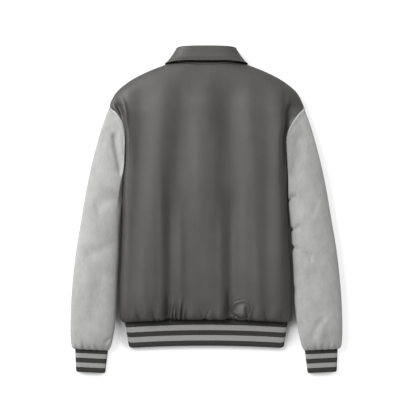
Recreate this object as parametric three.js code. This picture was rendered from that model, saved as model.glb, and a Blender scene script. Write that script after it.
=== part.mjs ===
// A varsity jacket laid out on its front: leather body, suede sleeves, striped rib hem and cuffs,
// and a turned-down leather collar. Millimetres, +Z up, +Y towards the collar, the back uppermost.
// The origin is on the surface that the jacket lies on, under the middle of its outline.
import * as THREE from "three";

// Thicknesses of the cloth walls
const LEATHER = 2.5;
const SUEDE = 2.2;
const RIB_KNIT = 2.8;
const COLLAR_LEAF = 2.6;

// Seams and layers
const SEAM_GAP = 0.3;
const LAYER_GAP = 0.4;
const OVERLAP = 15; // each front reaches this far past the centre line
const OVERLAP_RAMP = 30;
const PLACKET_SHARE = 0.25; // of a front's columns

// Rib knit
const HEM_RIBS = 78;
const CUFF_RIBS = 16;
const RIB_RISE = 0.45;
const RIB_FOLD_HEIGHT = 12.4; // both layers of a ribbed band, laid flat
const RIB_EDGE_HEIGHT = 6;

// Snap fasteners down the front
const SNAP_RADIUS = 7.5;
const SNAP_HEIGHT = 1.3;
const SNAP_COUNT = 7;
const SNAP_TOP_Y = 242;
const SNAP_PITCH = 92;
const SNAP_LIFT = SNAP_HEIGHT + SEAM_GAP;

// Sections across the body from the hem seam to the neckline. y is at the side, half the half width,
// crown the height of the back, edge and frontEdge where the back and the front end at the side,
// bow how far the middle lies above the ends, square how box-like the section is,
// tuck the depth of the fold that the back makes beside the top of the armhole.
const BODY = [
  { y: -283, half: 202, crown: 13.5, edge: 7, frontEdge: 7, bow: 7.5, square: 12, tuck: 0 },
  { y: -278, half: 209.5, crown: 27, edge: 12, frontEdge: 12, bow: 7, square: 9, tuck: 0 },
  { y: -266, half: 215, crown: 40, edge: 18, frontEdge: 18, bow: 6, square: 8, tuck: 0 },
  { y: -232, half: 217, crown: 47, edge: 20, frontEdge: 20, bow: 3.5, square: 8, tuck: 0 },
  { y: -170, half: 216, crown: 51, edge: 20, frontEdge: 20, bow: 0, square: 8, tuck: 0 },
  { y: -90, half: 214, crown: 53, edge: 20, frontEdge: 20, bow: 0, square: 8, tuck: 0 },
  { y: 12, half: 211, crown: 54, edge: 20, frontEdge: 20, bow: 0, square: 8, tuck: 0 },
  { y: 96, half: 208.5, crown: 54, edge: 24, frontEdge: 8, bow: 0, square: 11, tuck: 0 },
  { y: 176, half: 206.5, crown: 53, edge: 27, frontEdge: 7, bow: 0, square: 13, tuck: 0 },
  { y: 212, half: 209.5, crown: 52, edge: 29, frontEdge: 7, bow: 0, square: 11, tuck: 9 },
  { y: 240, half: 222.5, crown: 51, edge: 28, frontEdge: 10, bow: 0, square: 7, tuck: 24 },
  { y: 260, half: 241, crown: 50, edge: 20, frontEdge: 20, bow: 0, square: 7, tuck: 22 },
  { y: 289, half: 228.5, crown: 47, edge: 20, frontEdge: 20, bow: 0, square: 7, tuck: 9 },
  { y: 319, half: 195.5, crown: 44, edge: 20, frontEdge: 20, bow: -1, square: 5.5, tuck: 0 },
  { y: 346, half: 145, crown: 40, edge: 20, frontEdge: 20, bow: -4, square: 4.5, tuck: 0 },
  { y: 370.5, half: 80, crown: 36, edge: 20, frontEdge: 20, bow: -7.5, square: 3.5, tuck: 0 },
];
const UNDERARM = 6;
const SHOULDER = 11;
const NECKLINE = 15;
const FRONT_NECK_Y = 296;

// Long soft folds of the back: each runs from (x0, y0) to (x1, y1), bowed sideways by bend.
const BACK_FOLDS = [
  { x0: -108, y0: 285, x1: -124, y1: -250, bend: -6, wide: 26, high: 5.5 },
  { x0: -46, y0: 275, x1: -82, y1: -262, bend: -16, wide: 24, high: -6 },
  { x0: 12, y0: 270, x1: 6, y1: -245, bend: 3, wide: 27, high: 5 },
  { x0: 70, y0: 270, x1: 68, y1: -268, bend: -9, wide: 22, high: -6.5 },
  { x0: 96, y0: 190, x1: 92, y1: -200, bend: 2, wide: 13, high: 2 },
  { x0: 146, y0: 240, x1: 150, y1: -190, bend: -6, wide: 17, high: 3 },
  { x0: -166, y0: 225, x1: -182, y1: -230, bend: 0, wide: 20, high: -2.5 },
  { x0: 178, y0: 215, x1: 190, y1: -240, bend: 0, wide: 15, high: -2 },
];

// The tuck beside each armhole: a trough at a set share of the half width, and the ridge inside it
const TUCK_SHARE = 0.935;
const TUCK_WIDTH = 0.036;
const TUCK_RIDGE = { x0: 203, y0: 284, x1: 195, y1: 60, bend: 0, wide: 11, high: 3.5 };

// Gathers where the body is drawn in to the hem: x along the seam, reach up the body
const GATHERS = [
  { x: -184, wide: 10, high: 5, reach: 42 },
  { x: -148, wide: 11, high: 6, reach: 62 },
  { x: -113, wide: 10, high: 6.5, reach: 84 },
  { x: -86, wide: 8, high: 5.5, reach: 46 },
  { x: -58, wide: 10, high: 5, reach: 52 },
  { x: -24, wide: 12, high: 6, reach: 60 },
  { x: 26, wide: 14, high: 6.5, reach: 74 },
  { x: 94, wide: 13, high: 9, reach: 58 },
  { x: 134, wide: 11, high: 6, reach: 64 },
  { x: 172, wide: 10, high: 5, reach: 46 },
];

// Sections along a sleeve, from the armhole to the cuff seam: the outer and inner edge in plan,
// and the height of the upper side.
const SLEEVE = [
  { outX: 241, outY: 260, inX: 211.8, inY: 12, high: 42 },
  { outX: 257, outY: 219, inX: 214, inY: -3, high: 44 },
  { outX: 272, outY: 170, inX: 216, inY: -20, high: 46 },
  { outX: 288, outY: 108, inX: 218, inY: -42, high: 47 },
  { outX: 301, outY: 45, inX: 219.5, inY: -70, high: 47 },
  { outX: 313, outY: -26, inX: 220, inY: -106, high: 47 },
  { outX: 325, outY: -98, inX: 221, inY: -150, high: 46 },
  { outX: 333, outY: -165, inX: 222.5, inY: -198, high: 45 },
  { outX: 338, outY: -228, inX: 225, inY: -246, high: 44 },
  { outX: 340, outY: -285, inX: 228.5, inY: -290, high: 42 },
  { outX: 339.5, outY: -320, inX: 233.5, inY: -321, high: 37 },
  { outX: 337, outY: -341, inX: 238.5, inY: -341, high: 28 },
  { outX: 333, outY: -347.5, inX: 243.5, inY: -350.5, high: 19 },
  { outX: 329, outY: -349, inX: 246.5, inY: -353, high: 12.4 },
];
const SLEEVE_EDGE_HEIGHT = 20;
const SLEEVE_OPENED = 20; // its edge is at full height once it is this much higher than a cuff
const CUFF_SECTION = SLEEVE.length - 1;
const SLEEVE_FOLDS = [
  { x0: 231, y0: 185, x1: 219, y1: 80, bend: 4, wide: 14, high: -6 },
  { x0: 214, y0: 30, x1: 275, y1: 2, bend: 8, wide: 17, high: -6 },
  { x0: 222, y0: -75, x1: 300, y1: -112, bend: -6, wide: 18, high: -4 },
  { x0: 262, y0: -150, x1: 300, y1: -290, bend: -8, wide: 20, high: -3 },
];
const SLEEVE_GATHERS = [
  { x: 252, wide: 7, high: 4, reach: 30 },
  { x: 272, wide: 8, high: 5, reach: 40 },
  { x: 293, wide: 8, high: 4.5, reach: 36 },
  { x: 313, wide: 8, high: 5, reach: 44 },
  { x: 330, wide: 7, high: 4, reach: 30 },
];

// Ribbed bands: edges in plan at the seam and at the free end
const HEM = { seamHalf: 202, freeHalf: 194.5, seamY: -283, seamBow: 7.5, freeY: -348, freeBow: 6 };
const CUFF_EDGES = [
  { outX: 329, outY: -349, inX: 246.5, inY: -353 },
  { outX: 327, outY: -405.5, inX: 253, inY: -409.1 },
];
const BAND_SQUARE = 24;

// The collar from the centre back to the front end: the fold line and the edge of the leaf,
// turn the direction that its outer side faces (90 is up, -90 is down), roll the radius of the fold.
const COLLAR = [
  { foldX: 0, foldY: 403.3, foldZ: 34.5, leafX: 0, leafY: 372.5, leafZ: 42, turn: 90, roll: 4.5 },
  { foldX: 32, foldY: 402.8, foldZ: 34.2, leafX: 44, leafY: 372.5, leafZ: 42, turn: 86, roll: 4.5 },
  { foldX: 54, foldY: 401, foldZ: 31.5, leafX: 79, leafY: 370.5, leafZ: 39.5, turn: 62, roll: 4.5 },
  { foldX: 68, foldY: 397, foldZ: 21, leafX: 102.5, leafY: 365, leafZ: 20, turn: 0, roll: 4.3 },
  { foldX: 66, foldY: 388, foldZ: 10.5, leafX: 103, leafY: 359, leafZ: 3, turn: -62, roll: 4.9 },
  { foldX: 55, foldY: 370, foldZ: 4, leafX: 99, leafY: 334, leafZ: 0, turn: -88, roll: 3.2 },
  { foldX: 36, foldY: 347, foldZ: 3.9, leafX: 93, leafY: 308, leafZ: 0, turn: -90, roll: 3.2 },
  { foldX: 17, foldY: 327, foldZ: 3.9, leafX: 84, leafY: 284, leafZ: 0, turn: -90, roll: 3.2 },
];
const COLLAR_SIDE = 3;
const COLLAR_END = 7;
const COLLAR_FRONT = 12; // where the collar ends at the front, from the centre line
const BACK_NECK_GAP = 0.5;
const FRONT_NECK_GAP = 1.6;
const ROLL_GAP = 1.6;
const LEAF_LAYER = COLLAR_LEAF + LAYER_GAP; // the fronts are lifted by this where they lie on the leaf
const LEAF_REACH_X = 145;
const LEAF_REACH_Y = 250;

// How finely the walls are divided
const BACK_COLUMNS = 46;
const FRONT_COLUMNS = 7;
const PLACKET_COLUMNS = 4;
const SLEEVE_ROWS = [0, 0.25, 0.6, 1.1, 1.7, 2.3, 3, 3.7, 4.4, 5.1, 5.8, 6.5, 7.2, 7.9, 8.6, 9.3, 10, 10.6,
  11.1, 11.6, 12, 12.5, 13];
const LOWER_ROWS = [0, 0.5, 1, 1.5, 2, 2.5, 3, 3.5, 4, 5];
const ARMHOLE_ROWS = [6, 6.12, 6.5, 7, 7.5, 8, 8.5, 9, 9.5, 10, 10.5, 10.85, 11];
const UPPER_ROWS = [11.5, 12, 12.5, 13, 13.6, 14.2, 15];
const BODY_ROWS = [...LOWER_ROWS, ...ARMHOLE_ROWS, ...UPPER_ROWS];

const clamp01 = (t) => Math.min(1, Math.max(0, t));
const smooth = (t) => clamp01(t) ** 2 * (3 - 2 * clamp01(t));
const mix = (a, b, t) => a + (b - a) * t;

// A monotone cubic through one column of a table, at a row number that needn't be whole
function along(table, key, at) {
  const i = Math.min(table.length - 2, Math.max(0, Math.floor(at)));
  const t = at - i;
  const value = (k) => table[Math.min(table.length - 1, Math.max(0, k))][key];
  const rise = (k) => value(k + 1) - value(k);
  const slope = (k) => {
    if (k === 0) return rise(0);
    if (k === table.length - 1) return rise(k - 1);
    const [a, b] = [rise(k - 1), rise(k)];
    return a * b <= 0 ? 0 : (2 * a * b) / (a + b);
  };
  const [p, q, m, n] = [value(i), value(i + 1), slope(i), slope(i + 1)];
  const [t2, t3] = [t * t, t * t * t];
  return p * (2 * t3 - 3 * t2 + 1) + m * (t3 - 2 * t2 + t) + q * (3 * t2 - 2 * t3) + n * (t3 - t2);
}

// Spreads -1..1 evenly over the middle and crowds it towards both ends, more sharply for a larger power
const spread = (u, power = 4) => u * (1 + (1 - Math.abs(u) ** power) / power);

// The height of one fold at (x, y): a soft ridge, or a trough if high is negative
function foldHeight(fold, x, y) {
  const [dx, dy] = [fold.x1 - fold.x0, fold.y1 - fold.y0];
  const length = Math.hypot(dx, dy);
  const t = ((x - fold.x0) * dx + (y - fold.y0) * dy) / length ** 2;
  const off = ((x - fold.x0) * dy - (y - fold.y0) * dx) / length;
  const bowed = off + fold.bend * 4 * clamp01(t) * (1 - clamp01(t));
  const ends = smooth(t / 0.22 + 0.5) * smooth((1 - t) / 0.22 + 0.5);
  return fold.high * Math.exp(-((bowed / fold.wide) ** 2)) * ends;
}

// The height of one gather, which starts at a seam and dies out away from it
function gatherHeight(gather, x, away) {
  const open = gather.wide * (1 + 0.6 * clamp01(away / gather.reach));
  const off = ((x - gather.x) / open) ** 2;
  const shape = (1 - off) * Math.exp(-0.8 * off);
  return gather.high * shape * smooth(away / 9 + 0.25) * smooth(1 - away / gather.reach);
}

const sum = (list, height) => list.reduce((total, item) => total + height(item), 0);

function backRelief(x, y) {
  const folds = sum(BACK_FOLDS, (fold) => foldHeight(fold, x, y));
  const ridge = foldHeight(TUCK_RIDGE, Math.abs(x), y);
  const gathers = sum(GATHERS, (gather) => gatherHeight(gather, x, y - HEM.seamY - 4));
  return folds + ridge + gathers;
}

// The outer side of the back. u is -1 at the left side and 1 at the right, v the body section.
function backPoint(u, v) {
  const section = (key) => along(BODY, key, v);
  const share = spread(u);
  const x = section("half") * share;
  const y = section("y") + section("bow") * (1 - share ** 2);
  const dome = Math.sqrt(Math.max(0, 1 - Math.abs(share) ** section("square")));
  const edge = section("edge") + SEAM_GAP / 2;
  const tuck = section("tuck") * Math.exp(-(((Math.abs(share) - TUCK_SHARE) / TUCK_WIDTH) ** 2));
  return new THREE.Vector3(x, y, edge + (section("crown") - edge - tuck + backRelief(x, y)) * dome);
}

// How far a front is lifted off the surface: over the collar leaf, over the snaps, over the other front
function frontLift(x, y, isUpper) {
  const overLeaf = smooth((y - LEAF_REACH_Y) / 12) * smooth((LEAF_REACH_X - Math.abs(x)) / 25);
  const overSnaps = smooth(1 + (OVERLAP - x) / OVERLAP_RAMP);
  const overFront = isUpper ? overSnaps * (LEATHER + LAYER_GAP) : 0;
  return Math.max(LEAF_LAYER * overLeaf, SNAP_LIFT * overSnaps) + overFront;
}

// Runs from a front edge to the side: evenly over the overlap and its ramp, then crowded to the side
function frontX(u, half, power) {
  const placket = OVERLAP + OVERLAP_RAMP;
  if (u <= PLACKET_SHARE) return mix(-OVERLAP, placket, u / PLACKET_SHARE);
  return mix(placket, half, spread((u - PLACKET_SHARE) / (1 - PLACKET_SHARE), power));
}

// The outer side of a front at a given x, for the right one.
// The upper front is the one that lies on the other where they overlap.
function frontAt(x, v, isUpper) {
  const section = (key) => along(BODY, key, v);
  const half = section("half");
  const share = clamp01(x / half);
  const sideY = section("y");
  const underarmY = BODY[UNDERARM].y;
  const neckShare = (FRONT_NECK_Y - underarmY) / (BODY[NECKLINE].y - underarmY);
  const middleY = sideY > underarmY ? mix(underarmY, sideY, neckShare) : sideY + section("bow");
  const y = mix(middleY, sideY, share ** 2);
  const floor = Math.min(1, 1.3 * Math.sqrt(1 - share ** section("square")));
  const edge = section("frontEdge") - SEAM_GAP / 2;
  const lift = frontLift(x, y, isUpper);
  return new THREE.Vector3(x, y, mix(edge, lift, 1 - (1 - floor) ** 2));
}

// u is 0 at the front edge and 1 at the side
const frontPoint = (u, v, isUpper) => frontAt(frontX(u, along(BODY, "half", v), 4), v, isUpper);

// One point of a laid-out tube whose section gives its inner and outer edge in plan and its height.
// Angle 0 is its inner edge, and it runs over the top to the outer edge at half a turn.
function tubePoint(angle, { inX, inY, outX, outY, high }, edge) {
  const share = (1 - Math.cos(angle)) / 2;
  const swell = Math.abs(Math.sin(angle));
  const isAbove = angle <= Math.PI + 1e-9;
  const above = mix(edge, high, swell ** 0.85);
  const below = edge * (1 - Math.min(1, 1.25 * swell ** 0.7)) ** 2;
  return new THREE.Vector3(mix(inX, outX, share), mix(inY, outY, share), isAbove ? above : below);
}

// The armhole seam at a body section, on the back or on the front
function armholePoint(v, onBack) {
  const x = along(BODY, "half", v) + SEAM_GAP;
  const z = along(BODY, onBack ? "edge" : "frontEdge", v);
  return new THREE.Vector3(x, along(BODY, "y", v), z);
}

// Where the armhole seam has got to, from the underarm (0) to the shoulder point (1)
function armholeShare(v) {
  const [low, high] = [BODY[UNDERARM].y, BODY[SHOULDER].y];
  return clamp01((along(BODY, "y", v) - low) / (high - low));
}

// The outer side of a sleeve: u runs once round it from the inner edge, t from the armhole to the cuff
function sleevePoint(u, t) {
  const at = t * CUFF_SECTION;
  const onBack = u <= 0.5;
  const v = mix(UNDERARM, SHOULDER, onBack ? 2 * u : 2 - 2 * u);
  const halfTurn = Math.acos(1 - 2 * armholeShare(v));
  const angle = onBack ? halfTurn : 2 * Math.PI - halfTurn;
  const keys = Object.keys(SLEEVE[0]);
  const section = Object.fromEntries(keys.map((key) => [key, along(SLEEVE, key, at)]));
  const opened = Math.min(1, (section.high - RIB_FOLD_HEIGHT) / SLEEVE_OPENED);
  const point = tubePoint(angle, section, mix(RIB_EDGE_HEIGHT, SLEEVE_EDGE_HEIGHT, opened));

  // The first rings run on from the armhole seam
  const seam = armholePoint(v, onBack);
  const start = tubePoint(angle, SLEEVE[0], SLEEVE_EDGE_HEIGHT);
  const stay = 1 - smooth(at / 4.5);
  const rise = Math.sin((Math.PI / 2) * clamp01(at / 0.6));
  point.x += (seam.x - start.x) * stay;
  point.y += (seam.y - start.y) * stay;
  point.z = mix(seam.z, point.z, rise);

  // Folds and gathers, on the upper side alone
  const top = onBack ? Math.abs(Math.sin(angle)) ** 0.6 * smooth(at / 1.2) : 0;
  const cuffward = point.y - SLEEVE[CUFF_SECTION].inY;
  const relief = sum(SLEEVE_FOLDS, (fold) => foldHeight(fold, point.x, point.y))
    + sum(SLEEVE_GATHERS, (gather) => gatherHeight(gather, point.x, cuffward));
  point.z += relief * top;
  return point;
}

// A ribbed cuff: u runs once round it from the inner edge, t is 0 at the seam and 1 at the free end
function cuffPoint(u, t) {
  const edge = (key) => along(CUFF_EDGES, key, t);
  const share = 2 * Math.abs(u <= 0.5 ? u : 1 - u);
  const across = spread(2 * share - 1, 8);
  const dome = Math.sqrt(Math.max(0, 1 - Math.abs(across) ** 10));
  const z = u <= 0.5
    ? mix(RIB_EDGE_HEIGHT, RIB_FOLD_HEIGHT, dome)
    : RIB_EDGE_HEIGHT * (1 - Math.min(1, 1.3 * dome)) ** 2;
  const toOuter = (across + 1) / 2;
  const y = mix(edge("inY"), edge("outY"), toOuter) - SEAM_GAP * (1 - t);
  return new THREE.Vector3(mix(edge("inX"), edge("outX"), toOuter), y, z);
}

// The ribbed hem: an open band from the left front, round the back, to the right front.
// u is -1..1 over the top, beyond that it runs on under the jacket to 2 at each front end.
function hemPoint(u, t) {
  const half = mix(HEM.seamHalf, HEM.freeHalf, t);
  const isTop = Math.abs(u) <= 1;
  const share = isTop ? spread(u, 20) : 1;
  const dome = Math.sqrt(Math.max(0, 1 - Math.abs(share) ** BAND_SQUARE));
  const top = new THREE.Vector3(half * share, 0, mix(RIB_EDGE_HEIGHT, RIB_FOLD_HEIGHT, dome));
  if (!isTop) {
    const side = Math.sign(u);
    const x = frontX(2 - Math.abs(u), half, 12);
    const rolled = Math.sqrt(Math.max(0, 1 - clamp01(x / half) ** BAND_SQUARE));
    const flat = 1 - (1 - Math.min(1, 1.3 * rolled)) ** 2;
    const cover = smooth(1 + (OVERLAP - x) / OVERLAP_RAMP);
    const lift = SNAP_LIFT * cover + (side > 0 ? (RIB_KNIT + LAYER_GAP) * cover : 0);
    top.set(side * x, 0, mix(RIB_EDGE_HEIGHT, lift, flat));
  }
  const bow = mix(HEM.seamBow, HEM.freeBow, t) * (1 - (top.x / half) ** 2);
  top.y = mix(HEM.seamY - SEAM_GAP, HEM.freeY, t) + bow;
  return top;
}

// The neck seam at a collar section: along the back's neckline, then along a front's
function neckSeam(at, isUpper) {
  if (at <= COLLAR_SIDE) return backPoint(at / COLLAR_SIDE, NECKLINE);
  const share = (at - COLLAR_SIDE) / (COLLAR_END - COLLAR_SIDE);
  return frontAt(mix(BODY[NECKLINE].half, COLLAR_FRONT, share), NECKLINE, isUpper);
}

function collarLine(at, isUpper) {
  const section = (key) => along(COLLAR, key, at);
  const turn = THREE.MathUtils.degToRad(section("turn"));
  const fold = new THREE.Vector3(section("foldX"), section("foldY"), section("foldZ"));
  const neck = neckSeam(at, isUpper);
  const gap = at > COLLAR_SIDE ? FRONT_NECK_GAP : BACK_NECK_GAP;
  neck.addScaledVector(fold.clone().sub(neck).normalize(), gap);
  return {
    neck,
    fold,
    leaf: new THREE.Vector3(section("leafX"), section("leafY"), section("leafZ")),
    out: new THREE.Vector3(Math.cos(turn), 0, Math.sin(turn)),
    roll: section("roll"),
  };
}

// Works out a point of the right half of the collar and mirrors it for the left
function onBothSides(u, half) {
  const point = half(Math.abs(u) * COLLAR_END, u > 0);
  point.x *= Math.sign(u) || 1;
  return point;
}

// The stand, from the neck seam (v 0) to the fold (v 1)
const standPoint = (u, v) => onBothSides(u, (at, isUpper) => {
  const { neck, fold } = collarLine(at, isUpper);
  return neck.lerp(fold, v);
});

// The leaf: it runs on from the stand's inner side, rolls over, and falls to its edge
const ROLL_SHARE = 0.45;
const leafPoint = (u, v) => onBothSides(u, (at, isUpper) => {
  const { fold, leaf, out, roll } = collarLine(at, isUpper);
  const fall = leaf.clone().sub(fold);
  fall.addScaledVector(out, -fall.dot(out)).normalize();
  const start = fold.clone().addScaledVector(out, -LEATHER).addScaledVector(fall, -ROLL_GAP);
  const angle = Math.PI * Math.min(1, v / ROLL_SHARE);
  const point = start.clone().addScaledVector(out, roll * (1 - Math.cos(angle)));
  point.addScaledVector(fall, -roll * Math.sin(angle));
  return point.lerp(leaf, clamp01((v - ROLL_SHARE) / (1 - ROLL_SHARE)));
});

// A closed wall under the surface outer(u, v). The columns and rows are lists of u and v,
// and relief raises the outer side alone. A ring's columns close on themselves.
function clothWall(outer, columns, rows, wall, { ring = false, relief = () => 0 } = {}) {
  const step = 1e-3;
  const held = (list, t) => Math.min(list[list.length - 1], Math.max(list[0], t));
  const column = (u) => (ring ? (u + 1) % 1 : held(columns, u));
  const normalAt = (u, v) => {
    const alongU = outer(column(u + step), v).sub(outer(column(u - step), v));
    const alongV = outer(u, held(rows, v + step)).sub(outer(u, held(rows, v - step)));
    return alongU.cross(alongV).normalize();
  };
  const positions = [];
  for (const inside of [false, true]) {
    for (const v of rows) {
      for (const u of columns) {
        const depth = inside ? -wall : relief(u, v);
        const point = outer(u, v).addScaledVector(normalAt(u, v), depth);
        positions.push(point.x, point.y, point.z);
      }
    }
  }
  const [wide, high] = [columns.length, rows.length];
  const at = (i, j, inside) => (inside ? wide * high : 0) + j * wide + (i % wide);
  const faces = [];
  const corner = (k) => new THREE.Vector3().fromArray(positions, 3 * k);
  const quad = (a, b, c, d) => {
    const first = corner(a).distanceTo(corner(c)) <= corner(b).distanceTo(corner(d));
    faces.push(...(first ? [a, b, c, a, c, d] : [a, b, d, b, c, d]));
  };
  const cells = ring ? wide : wide - 1;
  for (let j = 0; j < high - 1; j += 1) {
    for (let i = 0; i < cells; i += 1) {
      quad(at(i, j), at(i + 1, j), at(i + 1, j + 1), at(i, j + 1));
      quad(at(i, j + 1, true), at(i + 1, j + 1, true), at(i + 1, j, true), at(i, j, true));
    }
  }
  for (let i = 0; i < cells; i += 1) {
    quad(at(i + 1, 0), at(i, 0), at(i, 0, true), at(i + 1, 0, true));
    quad(at(i, high - 1), at(i + 1, high - 1), at(i + 1, high - 1, true), at(i, high - 1, true));
  }
  for (let j = 0; !ring && j < high - 1; j += 1) {
    quad(at(0, j), at(0, j + 1), at(0, j + 1, true), at(0, j, true));
    quad(at(wide - 1, j + 1), at(wide - 1, j), at(wide - 1, j, true), at(wide - 1, j + 1, true));
  }
  const geometry = new THREE.BufferGeometry();
  geometry.setAttribute("position", new THREE.Float32BufferAttribute(positions, 3));
  geometry.setIndex(faces);
  geometry.computeVertexNormals();
  return geometry;
}

// Evenly spaced values from one to the other, both included
const steps = (count, from = 0, to = 1) =>
  Array.from({ length: count + 1 }, (_, i) => mix(from, to, i / count));

// The same surface on the other side of the jacket, with its outside still out
const mirrored = (surface, flip = (u) => 1 - u) => (u, v) => {
  const point = surface(flip(u), v);
  point.x *= -1;
  return point;
};

const LEATHER_GREY = new THREE.MeshStandardMaterial({ color: 0x5f5e5b, roughness: 0.48, metalness: 0 });
const SUEDE_GREY = new THREE.MeshStandardMaterial({ color: 0xb4b3b1, roughness: 0.95, metalness: 0 });
const RIB_GREY = new THREE.MeshStandardMaterial({ color: 0x3f3e3c, roughness: 0.9, metalness: 0 });
const SNAP_GREY = new THREE.MeshStandardMaterial({ color: 0x55534f, roughness: 0.4, metalness: 0.6 });

const jacket = new THREE.Group();

function addPiece(name, geometry, material) {
  const mesh = new THREE.Mesh(geometry, material);
  mesh.name = name;
  jacket.add(mesh);
  return mesh;
}

const FRONT_U = [
  ...steps(PLACKET_COLUMNS, 0, PLACKET_SHARE),
  ...steps(FRONT_COLUMNS, PLACKET_SHARE, 1).slice(1),
];

function addBody() {
  addPiece("back", clothWall(backPoint, steps(BACK_COLUMNS, -1, 1), BODY_ROWS, LEATHER), LEATHER_GREY);
  const right = (u, v) => frontPoint(1 - u, v, true);
  const left = mirrored((u, v) => frontPoint(u, v, false), (u) => u);
  const flipped = FRONT_U.map((u) => 1 - u).reverse();
  addPiece("front_right", clothWall(right, flipped, BODY_ROWS, LEATHER), LEATHER_GREY);
  addPiece("front_left", clothWall(left, FRONT_U, BODY_ROWS, LEATHER), LEATHER_GREY);
}

function addSleeves() {
  const overTop = ARMHOLE_ROWS.map((v) => (v - UNDERARM) / (SHOULDER - UNDERARM) / 2);
  const ring = [...overTop, ...overTop.slice(1, -1).map((u) => 1 - u).reverse()];
  const rows = SLEEVE_ROWS.map((at) => at / CUFF_SECTION);
  const right = (u, t) => sleevePoint((1 - u) % 1, t);
  const left = mirrored(sleevePoint, (u) => u);
  addPiece("sleeve_right", clothWall(right, ring, rows, SUEDE, { ring: true }), SUEDE_GREY);
  addPiece("sleeve_left", clothWall(left, ring, rows, SUEDE, { ring: true }), SUEDE_GREY);
}

function addCuffs() {
  const ribColumns = steps(2 * CUFF_RIBS, 0, 0.5).slice(0, -1);
  const underColumns = steps(8, 0.5, 1).slice(0, -1);
  const columns = [...ribColumns, ...underColumns];
  const isGroove = (u) => u < 0.5 && Math.round(u * 4 * CUFF_RIBS) % 2 === 1;
  const relief = (u) => (isGroove(u) ? -RIB_RISE : 0);
  const rows = steps(1);
  const turn = (u) => (1 - u) % 1;
  const left = mirrored(cuffPoint, (u) => u);
  const right = (u, t) => cuffPoint(turn(u), t);
  const turned = columns.map(turn).sort((a, b) => a - b);
  const leftOptions = { ring: true, relief };
  const rightOptions = { ring: true, relief: (u) => relief(turn(u)) };
  addPiece("cuff_left", clothWall(left, columns, rows, RIB_KNIT, leftOptions), RIB_GREY);
  addPiece("cuff_right", clothWall(right, turned, rows, RIB_KNIT, rightOptions), RIB_GREY);
}

function addHem() {
  const top = steps(2 * HEM_RIBS, -1, 1);
  const under = FRONT_U.map((u) => 2 - u).slice(0, -1);
  const columns = [...under.map((u) => -u), ...top, ...under.reverse()];
  const isGroove = (u) => Math.abs(u) < 1 && Math.round((u + 1) * HEM_RIBS) % 2 === 1;
  const relief = (u) => (isGroove(u) ? -RIB_RISE : 0);
  const surface = (u, t) => hemPoint(u, 1 - t);
  addPiece("hem_rib", clothWall(surface, columns, steps(1), RIB_KNIT, { relief }), RIB_GREY);
}

function addCollar() {
  const columns = steps(28, -1, 1);
  addPiece("collar_stand", clothWall(standPoint, columns, steps(3), LEATHER), LEATHER_GREY);
  const leafRows = [...steps(5, 0, ROLL_SHARE), ...steps(3, ROLL_SHARE, 1).slice(1)];
  const leaf = (u, v) => leafPoint(-u, v);
  addPiece("collar_leaf", clothWall(leaf, columns, leafRows, COLLAR_LEAF), LEATHER_GREY);
}

function addSnaps() {
  const cap = new THREE.CylinderGeometry(SNAP_RADIUS, SNAP_RADIUS, SNAP_HEIGHT, 14);
  for (let i = 0; i < SNAP_COUNT; i += 1) {
    const snap = addPiece(`snap_${i + 1}`, cap, SNAP_GREY);
    snap.rotation.x = Math.PI / 2;
    snap.position.set(0, SNAP_TOP_Y - SNAP_PITCH * i, SNAP_HEIGHT / 2);
  }
}

addBody();
addSleeves();
addCuffs();
addHem();
addCollar();
addSnaps();

export default jacket;
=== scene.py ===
"""A varsity jacket laid out on its front, seen from straight above its back."""

import math

import bmesh
import bpy
import numpy as np
from mathutils import Matrix, Vector


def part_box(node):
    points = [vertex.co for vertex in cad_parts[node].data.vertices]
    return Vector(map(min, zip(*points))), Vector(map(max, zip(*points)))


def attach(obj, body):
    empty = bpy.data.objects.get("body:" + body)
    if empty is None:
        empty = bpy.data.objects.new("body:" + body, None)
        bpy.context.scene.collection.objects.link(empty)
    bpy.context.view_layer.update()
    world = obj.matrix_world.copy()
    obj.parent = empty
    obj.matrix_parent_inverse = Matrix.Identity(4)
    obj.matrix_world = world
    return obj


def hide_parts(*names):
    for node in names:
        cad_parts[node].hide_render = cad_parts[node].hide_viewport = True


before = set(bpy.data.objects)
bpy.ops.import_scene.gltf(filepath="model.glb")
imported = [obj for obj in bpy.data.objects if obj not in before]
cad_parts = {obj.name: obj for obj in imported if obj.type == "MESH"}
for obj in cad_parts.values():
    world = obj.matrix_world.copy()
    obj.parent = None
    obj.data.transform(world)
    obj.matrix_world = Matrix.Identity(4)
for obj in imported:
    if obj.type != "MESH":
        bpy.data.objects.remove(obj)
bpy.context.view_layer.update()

MM = 0.001

# Thicknesses, seams and layers, in millimetres as in the solids
LEATHER = 2.5
SUEDE = 2.2
RIB_KNIT = 2.8
RIB_WALL = RIB_KNIT - 0.3
COLLAR_LEAF = 2.6
SEAM_GAP = 0.3
LAYER_GAP = 0.4
OVERLAP = 15
OVERLAP_RAMP = 30
RIB_FOLD_HEIGHT = 12.4
RIB_EDGE_HEIGHT = 6
SNAP_HEIGHT = 1.3
SNAP_RADIUS = 7.3
SNAP_LIFT = SNAP_HEIGHT + SEAM_GAP
LEAF_LAYER = COLLAR_LEAF + LAYER_GAP
LEAF_REACH_X, LEAF_RAMP_X = 145, 25
LEAF_REACH_Y, LEAF_RAMP_Y = 250, 12
# A laid-out piece rests flat on this much more of its width than it would as an even curve
FLAT_BELOW, SLEEVE_FLAT_BELOW = 1.3, 1.25


# Tables of sizes

def table(columns, rows):
    """A table with named columns, as arrays."""
    names = columns.split()
    return {name: np.array([row[i] for row in rows], float) for i, name in enumerate(names)}


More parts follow.
